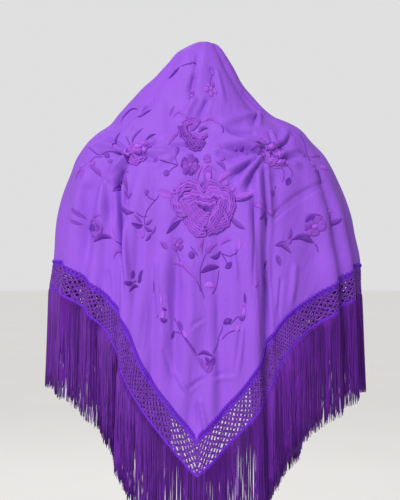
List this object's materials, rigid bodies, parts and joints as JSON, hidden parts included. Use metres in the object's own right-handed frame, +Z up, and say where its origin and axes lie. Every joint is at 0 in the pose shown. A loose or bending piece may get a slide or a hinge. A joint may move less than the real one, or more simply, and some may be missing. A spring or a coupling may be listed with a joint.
{
  "type": "flamenco shawl",
  "caption": "Triangular embroidered shawl with a knotted net band and long fringe, hanging as worn over the neck, shoulders and arms.",
  "frame": {"origin": "on the underside of the cloth, at the top of the wearer's neck, where the shawl is held", "axes": "+X towards the wearer's right, +Y towards the wearer's front, +Z up"},
  "size_m": [0.5763, 0.3558, 0.9324],
  "materials": {
    "crepe_cloth": "soft satin crepe",
    "braid": "silky cord",
    "knotted_net": "silky cord",
    "fringe": "silky strands"
  },
  "bodies": {
    "root": {"shawl_cloth": "crepe_cloth", "heading_braid_left": "braid", "heading_braid_right": "braid", "net_band_left": "knotted_net", "net_band_right": "knotted_net", "fringe_left": "fringe", "fringe_right": "fringe"}
  },
  "joints": []
}
